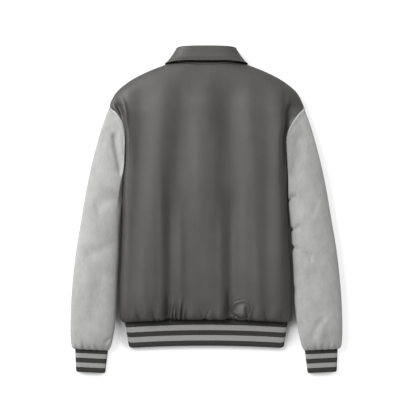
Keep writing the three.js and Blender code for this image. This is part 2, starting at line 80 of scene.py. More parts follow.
# Sections across the body from the hem seam to the neckline, close to those of the solids
BODY = table("y half crown edge front_edge bow square", [
    (-283, 204, 13.5, 7, 7, 7.5, 12),
    (-281, 209.5, 25, 11, 11, 7.3, 9),
    (-272, 215.5, 38, 18, 18, 6.5, 8),
    (-232, 217, 47, 20, 20, 3.5, 11),
    (-170, 216, 51, 20, 20, 0, 13),
    (-90, 214, 53, 20, 20, 0, 17),
    (12, 211, 54, 20, 20, 0, 20),
    (96, 208.5, 54, 31, 8, 0, 20),
    (176, 206.5, 53, 35, 7, 0, 34),
    (212, 209.5, 52, 36, 7, 0, 30),
    (240, 222.5, 51, 33, 10, 0, 16),
    (260, 241, 50, 20, 20, 0, 7),
    (289, 228.5, 47, 20, 20, 0, 7),
    (319, 195.5, 44, 20, 20, -1, 5.5),
    (346, 145, 40, 20, 20, -4, 4.5),
    (370.5, 80, 36, 20, 20, -7.5, 3.5),
])
UNDERARM, SHOULDER, NECKLINE = 6, 11, 15
FRONT_NECK_Y = 296
# The gathers and darts start this far over the hem seam
HEM_ROLL = 4

# The long folds of the back, crests and troughs by turns from left to right:
# where each line runs (x) and how high it is (z), at four levels up the back
FOLD_LEVELS = np.array([-250, -80, 90, 250], float)
FOLDS_END_Y, FOLDS_FADE, FOLDS_START = 356, 100, 40
FOLD_LINES = table("x_hem x_waist x_chest x_yoke z_hem z_waist z_chest z_yoke", [
    (-208, -208, -204, -200, 2.0, 2.5, 2.5, 1.5),
    (-186, -182, -168, -164, -1.0, -1.5, -2.0, -2.4),
    (-138, -128, -120, -106, 4.6, 5.4, 5.4, 4.4),
    (-82, -78, -72, -60, -7.0, -6.0, -5.2, -2.0),
    (24, 12, -1, 2, 2.6, 2.6, 4.4, 3.0),
    (66, 68, 62, 56, -6.8, -6.6, -6.4, -5.6),
    (126, 124, 122, 112, 2.6, 3.2, 3.4, 2.0),
    (150, 148, 148, 144, 1.6, 2.0, 2.2, 1.2),
    (184, 184, 182, 184, 5.2, 6.4, 6.2, 4.4),
    (208, 206, 203, 200, 0, 0, 0, 0),
])
# Narrower ridges and creases on the folds, from (x0, y0) to (x1, y1)
CREASE_FADE = 0.45
CREASES = table("x0 y0 x1 y1 bend wide high", [
    (-111, 60, -109, -320, 0, 9, 2.6),
    (-91, 40, -92, -320, 0, 9, -2.6),
    (-64, -20, -64, -330, 0, 10, 2.4),
    (38, 0, 41, -320, -2, 10, 2.6),
    (60, -10, 62, -320, -2, 9, -2.6),
    (96, 60, 92, -300, 0, 13, 1.2),
    (-158, -110, -156, -330, 0, 11, 2.0),
    (126, -90, 128, -330, 4, 11, 1.6),
    (-22, 210, -20, -40, 0, 14, 1.0),
    (24, 200, 22, -20, 0, 13, 1.2),
    (205, 60, 206, -70, 0, 5, -8),
    (-208, 84, -210, -8, 0, 4, -9),
])

# The tuck and the roll beside each armhole: how far from the middle each lies, and how high it is
TUCK = table("y left_x left_high right_x right_high wide", [
    (70, 203, 0, 201, 0, 4.5),
    (100, 203, 0, 201.5, -6, 4.5),
    (130, 203, 0, 202, -14, 4.5),
    (160, 203, 0, 202.5, -18, 4.5),
    (186, 204, -1, 202.5, -20, 5),
    (207, 206, -5, 200.5, -20.5, 5.5),
    (222, 208.5, -10, 201, -20, 6),
    (243, 213.5, -15, 203.5, -18, 7),
    (258, 219.5, -14, 209, -14, 7.5),
    (269, 225, -9, 213.5, -8, 7),
    (280, 227, -3, 215, -2, 7),
    (295, 227, 0, 215, 0, 7),
])
ROLL = table("y left_x left_high right_x right_high wide", [
    (-70, 203, 0, 176, 0, 6),
    (0, 202.5, 1.5, 176, 0, 6),
    (80, 203, 3.0, 175, 0, 6),
    (150, 203.5, 4, 176, 0, 6),
    (207, 202, 4.5, 178, 0, 6),
    (233, 201, 5, 182, 0, 6),
    (255, 203.5, 5, 186, 0, 6),
    (270, 208, 3, 190, 0, 6),
    (284, 215, 1, 190, 0, 6),
    (296, 222, 0, 190, 0, 6),
])
# The right tuck rises this much more gently towards its seam than towards the middle
RIGHT_TUCK_SLACK = 0.15

# How far to the right the seam or gap beside each sleeve lies of its mirrored place, which is at x
SIDE_SHIFT = table("y x left right reach", [
    (-310, 230, 0, 0, 22),
    (-225, 224, 0, -3.5, 22),
    (-176, 220, 0, -3.5, 22),
    (-100, 216, 2.5, -6, 22),
    (-28, 214, 2, -8, 22),
    (30, 208, 0.5, -7, 22),
    (75, 205, 1.5, -6.5, 22),
    (115, 204, 5.5, -7, 22),
    (176, 203, 6.5, -8, 22),
    (201, 206, 5, -3.5, 20),
    (215, 210, 2.5, 2, 18),
    (229, 214, 0.5, 6, 15),
    (243, 223, 0, 7.5, 13),
    (256, 236, 0, 3, 11),
    (266, 240, 0, 0, 11),
])

# Soft gathers where the body is drawn in to the hem, and sharp darts that start at the seam
GATHERS = table("x wide high reach lean", [
    (-184, 11, 4, 42, 0),
    (-148, 10, 5, 52, -3),
    (-116, 9, 5, 64, -4),
    (-89.5, 4.2, 8, 66, 4),
    (-79.5, 3.6, 5, 44, -3),
    (-69.5, 4.4, 8.5, 70, 8),
    (-60, 3.8, 5.5, 50, 6),
    (-34, 13, 4.5, 52, -4),
    (8, 9, 4, 40, 2),
    (32, 10, 5, 56, 4),
    (65, 3.4, 3.5, 60, 4),
    (106, 4, 3, 52, -8),
    (130, 12, 5, 56, 6),
    (170, 12, 5, 50, 4),
])
DARTS = table("x wide deep reach lean", [
    (-193, 3.0, 2.5, 18, 2),
    (-180, 3.0, 2.0, 14, -2),
    (-167, 3.2, 6.0, 36, -9),
    (-149, 3.0, 2.5, 16, 2),
    (-131, 3.0, 6.0, 32, -2),
    (-117, 3.0, 3.0, 18, -3),
    (-97, 7.5, 12.0, 76, 2),
    (-84, 3.0, 7.0, 44, 3),
    (-74.5, 3.0, 7.0, 48, 2),
    (-64, 3.0, 7.5, 52, 7),
    (-52, 3.0, 5.0, 32, 6),
    (-30, 3.0, 2.0, 14, 1),
    (-6, 3.0, 4.5, 32, -11),
    (-3, 3.0, 4.5, 34, 12),
    (21, 3.0, 3.5, 20, 1),
    (56, 7.0, 12.0, 88, 1),
    (66, 3.0, 4.5, 30, -8),
    (74, 3.0, 4.0, 26, -9),
    (100, 3.0, 4.5, 30, -4),
    (113, 2.8, 4.5, 44, 9),
    (131, 3.0, 2.5, 16, 2),
    (150, 2.8, 5.0, 30, -7),
    (170, 3.0, 2.5, 16, -2),
    (190, 3.0, 4.0, 28, -4),
])
# How far a dart pulls the cloth along with it, and how far from its seam, on the body and on a sleeve
DART_PULL, HEM_PULL_REACH, CUFF_PULL_REACH = 0.3, 16, 12
# The round pucker above the hem seam on the right: its dome, the ring round it and the arcs beyond
KNOT = {"x": 85.5, "y": -254, "wide": 14, "high": 6, "tilt": 4,
        "ring_at": 17.5, "ring_wide": 3, "ring_deep": 3.4,
        "arc_step": 8.5, "arc_at": 24.5, "arc_spread": 7, "arc_high": 1.6}

# Sections along a sleeve from the armhole to the cuff seam
SLEEVE = table("out_x out_y in_x in_y high", [
    (241, 260, 211.8, 12, 42),
    (257, 219, 214, -3, 44),
    (272, 170, 216, -20, 46),
    (288, 108, 218, -42, 47),
    (301, 45, 219.5, -70, 47),
    (313, -26, 220, -106, 47),
    (325, -98, 221, -150, 46),
    (333, -165, 222.5, -198, 45),
    (338, -228, 225, -246, 44),
    (340, -285, 228.5, -290, 42),
    (339.5, -320, 233.5, -321, 37),
    (337, -341, 238.5, -341, 28),
    (333, -347.5, 243.5, -350.5, 19),
    (329, -349, 246.5, -353, 12.4),
])
SLEEVE_EDGE_HEIGHT = 20
# Its edge is at full height once the sleeve is this much higher than a cuff
SLEEVE_OPENED = 20
# How many sections it takes to rise from the armhole seam, to leave the seam's line and to start its folds
SEAM_RISE = 0.3
SEAM_HOLDS = 4.5
FOLDS_FROM_SEAM = 1.2
SEAM_WELT = {"at": 0.2, "wide": 0.12, "high": 1.2, "below": 0.3}
# The left sleeve dives to its seam more slowly over the underarm
UNDERARM_FOLD = {"y": 42, "reach": 32, "rise": 2.4}
CUFF_SECTION = 13

# Folds and creases of each sleeve, given as if both were the right one
SLEEVE_FOLDS = {
    "left": table("x0 y0 x1 y1 bend wide high", [
        (231, 185, 221, 90, 4, 13, -4),
        (231, 190, 214, 88, 2, 6, -8),
        (217, 190, 214, 140, 2, 5, 3),
        (214, 30, 275, 2, 8, 17, -5),
        (222, -75, 300, -112, -6, 18, -4),
        (262, -150, 300, -290, -8, 20, -3),
        (232, -318, 252, -334, 3, 5, -4),
        (300, 60, 262, -60, 12, 22, 2.5),
    ]),
    "right": table("x0 y0 x1 y1 bend wide high", [
        (231, 185, 219, 80, 4, 14, -5),
        (206, 26, 228, 31, 1, 6, -6),
        (212, -49, 236, -42, -1, 6, -5),
        (218, -94, 262, -120, 3, 6, -4),
        (214, 30, 275, 2, 8, 17, -4),
        (236, -108, 264, -128, 4, 5, -2.5),
        (262, -150, 300, -290, -8, 20, -3),
        (308, -262, 262, -326, -9, 9, -2.2),
        (316, -256, 282, -334, -9, 11, 2.0),
    ]),
}
SLEEVE_GATHERS = table("x wide high reach lean", [
    (250, 6, 1.6, 22, -3),
    (266, 7, 1.4, 26, -4),
    (283, 6, 2.2, 30, 0),
    (299, 7, 1.6, 34, 3),
    (315, 7, 2.6, 40, 2),
    (331, 6, 2.0, 24, 3),
])
SLEEVE_DARTS = table("x wide deep reach lean", [
    (257, 2.0, 1.6, 14, -3),
    (273, 2.2, 1.8, 20, 2),
    (290, 2.0, 2.4, 16, -2),
    (306, 2.2, 2.4, 26, 4),
    (323, 2.0, 2.0, 18, 2),
])
# Notches along the free inner edge of the right sleeve
INNER_NOTCHES = table("y wide deep", [(25, 5, 6), (-49, 5, 5), (-94, 6, 4.5), (-200, 12, 2)])

# Edges of the ribbed bands at the seam and at the free end
HEM = {"seam_half": 204, "seam_y": -283, "seam_bow": 7.5,
       "free_half": 194.5, "free_y": -346.3, "free_bow": 6}
CUFF = table("out_x out_y in_x in_y", [(329, -349, 246.5, -353), (327, -405.5, 253, -409.1)])
BAND_SQUARE, CUFF_SQUARE = 24, 10
CORNER, CORNER_STARTS, CORNER_SHARE = 4.5, 0.93, 0.07
HEM_RIBS, HEM_RIB_RISE = 156, 0.55
CUFF_RIBS, CUFF_RIB_RISE = 32, 0.5
COLUMNS_PER_RIB = 6

# The collar from the centre back to the front end
COLLAR = table("fold_x fold_y fold_z leaf_x leaf_y leaf_z turn roll", [
    (0, 403.6, 34.6, 0, 372.5, 46.6, 90, 4.5),
    (34, 403.5, 34.5, 44, 372.5, 46.4, 86, 4.5),
    (57, 402.8, 31.9, 79, 370.5, 43.2, 62, 4.5),
    (70, 399, 21, 102.5, 365, 20, 0, 4.3),
    (66, 388, 10.5, 103, 359, 3, -62, 4.9),
    (55, 370, 4, 99, 334, 0, -88, 3.2),
    (36, 347, 3.9, 93, 308, 0, -90, 3.2),
    (17, 327, 3.9, 84, 284, 0, -90, 3.2),
])
COLLAR_SIDE, COLLAR_END = 3, 7
COLLAR_FRONT = 12
BACK_NECK_GAP, FRONT_NECK_GAP, ROLL_GAP = 0.5, 1.6, 1.6
ROLL_SHARE = 0.45
# The stand is tucked in below the neck seam, and sinks behind the leaf's edge
STAND_TUCK = 0.05
STAND_SINKS, STAND_SINKS_AT, STAND_SINKS_WIDE = 8, 0.2, 0.08
LEAF_FALL = 31
LEAF_STITCHING = 6.5
LEAF_SHAPE = {"puff": 0.5, "hollow": 1.6, "groove": 0.9, "groove_wide": 1.1, "edge": 0.9, "edge_wide": 5}
STITCH = {"pitch": 4.0, "length": 3.1, "thick": 0.38, "proud": 0.3}


# Surfaces of the cloth

def smooth(t):
    """A soft step from 0 to 1 as t goes from 0 to 1."""
    t = np.clip(t, 0, 1)
    return t * t * (3 - 2 * t)


def mix(a, b, t):
    return a + (b - a) * t


def hump(off):
    """A rounded rise: 1 in the middle and almost nothing from 2 on."""
    return np.exp(-(off ** 2))


def spread(u, power=4):
    """Spreads -1..1 evenly over the middle and crowds it towards both ends."""
    return u * (1 + (1 - np.abs(u) ** power) / power)


def along(column, at):
    """A monotone cubic through a table's column, at row numbers that needn't be whole."""
    rise = np.diff(column)
    if len(rise) == 1:
        return mix(column[0], column[1], at)
    product = rise[:-1] * rise[1:]
    total = np.where(product > 0, rise[:-1] + rise[1:], 1)
    slope = np.concatenate([rise[:1], np.where(product > 0, 2 * product / total, 0), rise[-1:]])
    i = np.clip(np.floor(at).astype(int), 0, len(column) - 2)
    t = at - i
    t2, t3 = t * t, t * t * t
    return (column[i] * (2 * t3 - 3 * t2 + 1) + slope[i] * (t3 - 2 * t2 + t)
            + column[i + 1] * (3 * t2 - 2 * t3) + slope[i + 1] * (t3 - t2))


def rows_of(data):
    """The rows of a table, each as a dict of numbers."""
    return [dict(zip(data, values)) for values in zip(*data.values())]


def fold_heights(folds, x, y, fade=0.22):
    """The height at (x, y) of a table of folds: ridges, and troughs where high is negative.

    Each fold fades in and out over that share of its length, centred on its ends."""
    total = 0 * x
    for f in rows_of(folds):
        dx, dy = f["x1"] - f["x0"], f["y1"] - f["y0"]
        length = math.hypot(dx, dy)
        t = ((x - f["x0"]) * dx + (y - f["y0"]) * dy) / length ** 2
        off = ((x - f["x0"]) * dy - (y - f["y0"]) * dx) / length
        inside = np.clip(t, 0, 1)
        bowed = off + f["bend"] * 4 * inside * (1 - inside)
        ends = smooth(t / fade + 0.5) * smooth((1 - t) / fade + 0.5)
        total = total + f["high"] * hump(bowed / f["wide"]) * ends
    return total


def gather_heights(gathers, x, away):
    """The height of a table of gathers, which start at a seam and die out away from it."""
    total = 0 * x
    for g in rows_of(gathers):
        reached = np.clip(away / g["reach"], 0, 1)
        off = ((x - g["x"] - g["lean"] * reached) / (g["wide"] * (1 + 0.6 * reached))) ** 2
        shape = (1 - off) * np.exp(-0.8 * off)
        total = total + g["high"] * shape * smooth(away / 9 + 0.25) * smooth(1 - reached)
    return total


def dart_depths(darts, x, away):
    """How deep a table of sharp darts cuts in; they start at a seam and narrow away from it."""
    total = 0 * x
    for d in rows_of(darts):
        reached = np.clip(away / d["reach"], 0, 1)
        off = (x - d["x"] - d["lean"] * reached ** 1.3) / (d["wide"] * (1.2 - 0.2 * reached))
        total = total + d["deep"] * hump(off) * (1 - reached) ** 0.8 * smooth(away / 5 + 0.35)
    return total


def row_number(levels, at):
    """Where a value lies in a rising column, as a row number that needn't be whole."""
    return np.interp(at, levels, np.arange(len(levels)))


def body(name, v):
    """A column of the body's sections at v, counted in sections from the hem seam."""
    return along(BODY[name], v)


def stack(x, y, z):
    """Points from their coordinates."""
    return np.stack(np.broadcast_arrays(x, y, z), axis=-1)


def long_folds(x, y):
    """The long folds of the back: the height runs smoothly from each line to the next."""
    at = row_number(FOLD_LEVELS, y)
    lines = []
    for line in zip(*FOLD_LINES.values()):
        places, heights = np.array(line[:4]), np.array(line[4:])
        lines.append((along(places, at), along(heights, at)))
    total = lines[0][1]
    for (x0, z0), (x1, z1) in zip(lines, lines[1:]):
        total = total + (z1 - z0) * smooth((x - x0) / (x1 - x0))
    return total * smooth((FOLDS_END_Y - y) / FOLDS_FADE) + fold_heights(CREASES, x, y, CREASE_FADE)


def side_line(line, x, y):
    """The height of a tuck or a roll that runs down beside each armhole."""
    t = {name: along(column, row_number(line["y"], y)) for name, column in line.items()}
    from_middle = np.where(x < 0, t["left_x"], t["right_x"])
    high = np.where(x < 0, t["left_high"], t["right_high"])
    off = (np.abs(x) - from_middle) / t["wide"]
    off = np.where((x > 0) & (off > 0), off * RIGHT_TUCK_SLACK, off)
    return high * hump(off)


def knot(x, y):
    """The height of the round pucker above the hem seam, with arcs of small folds over it."""
    dx, dy = x - KNOT["x"], y - KNOT["y"]
    around = np.arctan2(dy, dx)
    r = np.hypot(dx, dy) * (1 + 0.1 * np.sin(3 * around + 1) + 0.06 * np.sin(5 * around))
    arcs = np.cos(2 * math.pi * r / KNOT["arc_step"]) * hump((r - KNOT["arc_at"]) / KNOT["arc_spread"])
    dome = (KNOT["high"] + KNOT["tilt"] * (dx - dy) / KNOT["wide"]) * np.exp(-((r / KNOT["wide"]) ** 4))
    ring = KNOT["ring_deep"] * hump((r - KNOT["ring_at"]) / KNOT["ring_wide"]) * (1.3 - np.sin(around))
    return dome - ring + KNOT["arc_high"] * arcs * smooth(dy / 16 + 0.8)


def back_surface(share, v):
    """The outer side of the back; share is -1 at the left side and 1 at the right."""
    half = body("half", v)
    x = half * share
    y = body("y", v) + body("bow", v) * (1 - share ** 2)
    away = y - HEM["seam_y"] - HEM_ROLL
    darts = dart_depths(DARTS, x, away)
    folds = long_folds(x, y) * smooth(away / FOLDS_START + 0.2)
    relief = folds + gather_heights(GATHERS, x, away) + knot(x, y) - darts
    dome = np.sqrt(np.maximum(0, 1 - np.abs(share) ** body("square", v)))
    edge = body("edge", v) + SEAM_GAP / 2
    height = body("crown", v) - edge + side_line(TUCK, x, y) + side_line(ROLL, x, y) + relief
    return stack(x, y + DART_PULL * darts * smooth(1 - away / HEM_PULL_REACH), edge + height * dome)


def front_lift(x, y, upper):
    """How far a front is lifted off the floor, over the collar leaf, the snaps and the other front."""
    over_leaf = smooth((y - LEAF_REACH_Y) / LEAF_RAMP_Y) * smooth((LEAF_REACH_X - np.abs(x)) / LEAF_RAMP_X)
    over_snaps = smooth(1 + (OVERLAP - x) / OVERLAP_RAMP)
    over_front = over_snaps * (LEATHER + LAYER_GAP) if upper else 0
    return np.maximum(LEAF_LAYER * over_leaf, SNAP_LIFT * over_snaps) + over_front


def front_at(x, v, upper):
    """The outer side of the right front at a given x."""
    half = body("half", v)
    share = np.clip(x / half, 0, 1)
    side_y = body("y", v)
    underarm_y = BODY["y"][UNDERARM]
    neck_share = (FRONT_NECK_Y - underarm_y) / (BODY["y"][NECKLINE] - underarm_y)
    middle_y = np.where(side_y > underarm_y, mix(underarm_y, side_y, neck_share), side_y + body("bow", v))
    y = mix(middle_y, side_y, share ** 2)
    floor = np.minimum(1, FLAT_BELOW * np.sqrt(1 - share ** body("square", v)))
    edge = body("front_edge", v) - SEAM_GAP / 2
    return stack(x, y, mix(edge, front_lift(x, y, upper), 1 - (1 - floor) ** 2))


def sleeve_ring(angle, section, edge):
    """Points round a laid-out sleeve: angle 0 at its inner edge, then over the top to the outer edge."""
    share = (1 - np.cos(angle)) / 2
    swell = np.abs(np.sin(angle))
    above = mix(edge, section["high"], swell ** 0.85)
    below = edge * (1 - np.minimum(1, SLEEVE_FLAT_BELOW * swell ** 0.7)) ** 2
    z = np.where(angle <= math.pi + 1e-9, above, below)
    x, y = (mix(section["in_" + axis], section["out_" + axis], share) for axis in "xy")
    return stack(x, y, z)


def armhole_share(v):
    """How far up the armhole the body's section v lies, 0 to 1."""
    y = BODY["y"]
    return (body("y", v) - y[UNDERARM]) / (y[SHOULDER] - y[UNDERARM])


def sleeve_surface(u, at, side):
    """The outer side of a sleeve, as the right one: u runs once round it, at is the section along it."""
    on_back = u <= 0.5
    v = mix(UNDERARM, SHOULDER, np.where(on_back, 2 * u, 2 - 2 * u))
    half_turn = np.arccos(np.clip(1 - 2 * armhole_share(v), -1, 1))
    angle = np.where(on_back, half_turn, 2 * math.pi - half_turn)
    section = {name: along(column, at) for name, column in SLEEVE.items()}
    opened = (section["high"] - RIB_FOLD_HEIGHT) / SLEEVE_OPENED
    edge = np.minimum(SLEEVE_EDGE_HEIGHT, mix(RIB_EDGE_HEIGHT, SLEEVE_EDGE_HEIGHT, opened))
    point = sleeve_ring(angle, section, edge)
    seam = stack(body("half", v) + SEAM_GAP, body("y", v),
                 np.where(on_back, body("edge", v), body("front_edge", v)))
    start = sleeve_ring(angle, {name: column[0] for name, column in SLEEVE.items()}, SLEEVE_EDGE_HEIGHT)
    held = 1 - smooth(at / SEAM_HOLDS)
    slow = UNDERARM_FOLD["rise"] * hump((seam[..., 1] - UNDERARM_FOLD["y"]) / UNDERARM_FOLD["reach"])
    rise = np.sin(math.pi / 2 * np.clip(at / (SEAM_RISE + (slow if side == "left" else 0)), 0, 1))
    x = point[..., 0] + (seam[..., 0] - start[..., 0]) * held
    y = point[..., 1] + (seam[..., 1] - start[..., 1]) * held
    z = mix(seam[..., 2], point[..., 2], rise)
    top = np.where(on_back, np.abs(np.sin(angle)) ** 0.6 * smooth(at / FOLDS_FROM_SEAM), 0)
    away = y - SLEEVE["in_y"][CUFF_SECTION]
    darts = dart_depths(SLEEVE_DARTS, x, away)
    relief = fold_heights(SLEEVE_FOLDS[side], x, y) + gather_heights(SLEEVE_GATHERS, x, away) - darts
    on_welt = hump((at - SEAM_WELT["at"]) / SEAM_WELT["wide"])
    welt = SEAM_WELT["high"] * on_welt * np.where(on_back, 1, SEAM_WELT["below"])
    if side == "right":
        inner = np.clip(np.cos(angle), 0, 1) ** 3
        x = x + inner * sum(n["deep"] * hump((y - n["y"]) / n["wide"]) for n in rows_of(INNER_NOTCHES))
    pulled = DART_PULL * darts * top * smooth(1 - away / CUFF_PULL_REACH)
    return stack(x, y + pulled, z + relief * top + welt)


def cuff_surface(u, t):
    """The right cuff: u runs once round it from the inner edge, t from the seam to the free end."""
    edge = {name: along(column, t) for name, column in CUFF.items()}
    share = 2 * np.where(u <= 0.5, u, 1 - u)
    across = spread(2 * share - 1, 8)
    dome = np.sqrt(np.maximum(0, 1 - np.abs(across) ** CUFF_SQUARE))
    above = mix(RIB_EDGE_HEIGHT, RIB_FOLD_HEIGHT, dome)
    below = RIB_EDGE_HEIGHT * (1 - np.minimum(1, FLAT_BELOW * dome)) ** 2
    to_outer = (across + 1) / 2
    y = mix(edge["in_y"], edge["out_y"], to_outer) - SEAM_GAP * (1 - t) + CORNER * t * rounded_end(across)
    return stack(mix(edge["in_x"], edge["out_x"], to_outer), y, np.where(u <= 0.5, above, below))


def rounded_end(across):
    """How far the corner at either end of a band is rounded off; across is -1..1."""
    return np.clip((np.abs(across) - CORNER_STARTS) / CORNER_SHARE, 0, 1) ** 2.5


def hem_surface(u, t):
    """The hem band: u is -1..1 over the top, and runs on under the jacket to 2 at each front end."""
    half = mix(HEM["seam_half"], HEM["free_half"], t)
    share = spread(np.clip(u, -1, 1), 20)
    dome = np.sqrt(np.maximum(0, 1 - np.abs(share) ** BAND_SQUARE))
    top_x, top_z = half * share, mix(RIB_EDGE_HEIGHT, RIB_FOLD_HEIGHT, dome)
    under_x = mix(-OVERLAP, half, spread(np.clip(2 - np.abs(u), 0, 1), 12))
    rolled = np.sqrt(np.maximum(0, 1 - np.clip(under_x / half, 0, 1) ** BAND_SQUARE))
    flat = 1 - (1 - np.minimum(1, FLAT_BELOW * rolled)) ** 2
    cover = smooth(1 + (OVERLAP - under_x) / OVERLAP_RAMP)
    lift = SNAP_LIFT * cover + np.where(u > 0, (RIB_KNIT + LAYER_GAP) * cover, 0)
    under_z = mix(RIB_EDGE_HEIGHT, lift, flat)
    on_top = np.abs(u) <= 1
    x = np.where(on_top, top_x, np.sign(u) * under_x)
    y = mix(HEM["seam_y"] - SEAM_GAP, HEM["free_y"] + CORNER * rounded_end(x / half), t)
    y = y + mix(HEM["seam_bow"], HEM["free_bow"], t) * (1 - (x / half) ** 2)
    return stack(x, y, np.where(on_top, top_z, under_z))


def neck_seam(at, upper):
    """The neck seam at a collar section: along the back's neckline, then along a front's."""
    on_back = back_surface(spread(np.clip(at / COLLAR_SIDE, 0, 1)), np.full_like(at, NECKLINE))
    share = (at - COLLAR_SIDE) / (COLLAR_END - COLLAR_SIDE)
    x = mix(BODY["half"][NECKLINE], COLLAR_FRONT, np.clip(share, 0, 1))
    on_front = front_at(x, np.full_like(at, NECKLINE), upper)
    return np.where((at <= COLLAR_SIDE)[..., None], on_back, on_front)


def unit(vectors):
    return vectors / np.maximum(1e-9, np.linalg.norm(vectors, axis=-1, keepdims=True))


def collar_line(at, upper):
    """The neck seam, the fold line, the edge of the leaf, the way its outer side faces, and the roll."""
    s = {name: along(column, at) for name, column in COLLAR.items()}
    turn = np.radians(s["turn"])
    fold = stack(s["fold_x"], s["fold_y"], s["fold_z"])
    leaf = stack(s["leaf_x"], s["leaf_y"], s["leaf_z"])
    neck = neck_seam(at, upper)
    gap = np.where(at > COLLAR_SIDE, FRONT_NECK_GAP, BACK_NECK_GAP)[..., None]
    neck = neck + unit(fold - neck) * gap
    return neck, fold, leaf, stack(np.cos(turn), 0, np.sin(turn)), s["roll"][..., None]


def on_both_sides(half_surface):
    """A surface worked out for the right half of the collar and mirrored for the left."""
    def surface(u, v):
        right = half_surface(np.abs(u) * COLLAR_END, v, True)
        left = half_surface(np.abs(u) * COLLAR_END, v, False) * np.array([-1, 1, 1])
        return np.where((u > 0)[..., None], right, left)
    return surface


@on_both_sides
def stand_surface(at, v, upper):
    neck, fold = collar_line(at, upper)[:2]
    tucked = (LEATHER + LAYER_GAP) * smooth(-v / STAND_TUCK)
    on_back = smooth((COLLAR_SIDE + 0.3 - at) / 0.6)
    sunk = STAND_SINKS * hump((v - STAND_SINKS_AT) / STAND_SINKS_WIDE) * on_back
    return mix(neck, fold, v[..., None]) - stack(0, 0, tucked * np.where(at > COLLAR_SIDE, -1, 1) + sunk)


@on_both_sides
def leaf_surface(at, v, upper):
    neck, fold, leaf, out, roll = collar_line(at, upper)
    v = v[..., None]
    fall = leaf - fold
    fall = unit(fall - out * np.sum(fall * out, axis=-1, keepdims=True))
    start = fold - out * LEATHER - fall * ROLL_GAP
    angle = math.pi * np.minimum(1, v / ROLL_SHARE)
    rolled = start + out * roll * (1 - np.cos(angle)) - fall * roll * np.sin(angle)
    return mix(rolled, leaf, np.clip((v - ROLL_SHARE) / (1 - ROLL_SHARE), 0, 1))


# Making a piece

def stations(*spans):
    """Values from span to span: each is (first, last, steps)."""
    parts = [np.linspace(a, b, n, endpoint=False) for a, b, n in spans]
    return np.concatenate([*parts, [spans[-1][1]]])


def lengths_along(points, axis):
    """How far each point of a grid lies along its row or column, in metres."""
    steps = np.linalg.norm(np.diff(points, axis=axis), axis=-1).mean(axis=1 - axis)
    return np.concatenate([[0], np.cumsum(steps)]) * MM


def shift_sides(points):
    """Moves the cloth beside each sleeve a little sideways, because the two don't hang alike."""
    x, y, z = (points[..., k] for k in range(3))
    t = {name: along(column, row_number(SIDE_SHIFT["y"], y)) for name, column in SIDE_SHIFT.items()}
    by = np.where(x < 0, t["left"], t["right"])
    return stack(x + by * hump((np.abs(x) - t["x"]) / t["reach"]), y, z)


def outer_side(surface, us, vs, relief=None):
    """The points of surface(u, v), raised by its relief but never into the floor, and the way each faces."""
    u, v = np.meshgrid(us, vs)
    points = shift_sides(surface(u, v))
    across, down = np.gradient(points, axis=1), np.gradient(points, axis=0)
    facing = unit(np.cross(across, down))
    if relief is not None:
        points = points + facing * relief(u, v)[..., None]
        points[..., 2] = np.maximum(points[..., 2], 0)
    return points, facing


def finished(name, made, look):
    """An object at the origin whose mesh is what was made, with smooth faces and its material."""
    for face in made.faces:
        face.smooth = True
    mesh = bpy.data.meshes.new(name)
    made.to_mesh(mesh)
    made.free()
    mesh.materials.append(look)
    piece = bpy.data.objects.new(name, mesh)
    bpy.context.collection.objects.link(piece)
    return piece


def cloth(name, surface, us, vs, wall, look, replaces, closed=False, relief=None):
    """A wall of cloth whose outer side is surface(u, v): a grid moved onto it and thickened inwards."""
    points = outer_side(surface, us, vs, relief)[0]
    made = bmesh.new()
    bmesh.ops.create_grid(made, x_segments=len(us) - 1, y_segments=len(vs) - 1, size=1)
    uv = made.loops.layers.uv.new("cloth")
    wide, high = lengths_along(points, 1), lengths_along(points, 0)
    place = {}
    for vert in made.verts:
        i = round((vert.co.x + 1) / 2 * (len(us) - 1))
        j = round((vert.co.y + 1) / 2 * (len(vs) - 1))
        place[vert.index] = (wide[i], high[j])
        vert.co = points[j, i] * MM
    for face in made.faces:
        for loop in face.loops:
            loop[uv].uv = place[loop.vert.index]
    if closed:
        bmesh.ops.remove_doubles(made, verts=made.verts, dist=1e-6)
    piece = finished(name, made, look)
    solidify = piece.modifiers.new("wall", "SOLIDIFY")
    solidify.thickness = wall * MM
    solidify.offset = -1
    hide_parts(*replaces)
    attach(piece, "root")
    return piece


def stitches(name, line, facing, look):
    """A row of stitches along a line of points on the outer side of a piece."""
    far = np.concatenate([[0], np.cumsum(np.linalg.norm(np.diff(line, axis=0), axis=1))])
    middles = np.arange(STITCH["pitch"] / 2, far[-1], STITCH["pitch"])

    def at(values, where):
        return stack(*(np.interp(where, far, values[:, k]) for k in range(3)))

    made = bmesh.new()
    ways = unit(at(line, middles + 0.5) - at(line, middles - 0.5))
    for middle, way, up in zip(at(line, middles), ways, unit(at(facing, middles))):
        across = np.cross(way, up)
        axes = (across * STITCH["thick"], up * STITCH["thick"], way * STITCH["length"] / 2)
        place = Matrix.Identity(4)
        for k, axis in enumerate(axes):
            place.col[k] = (*axis, 0)
        place.col[3] = (*(middle + up * STITCH["thick"] * STITCH["proud"]) * MM, 1)
        bmesh.ops.create_uvsphere(made, u_segments=8, v_segments=5, radius=MM, matrix=place)
    piece = finished(name, made, look)
    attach(piece, "root")


# Materials

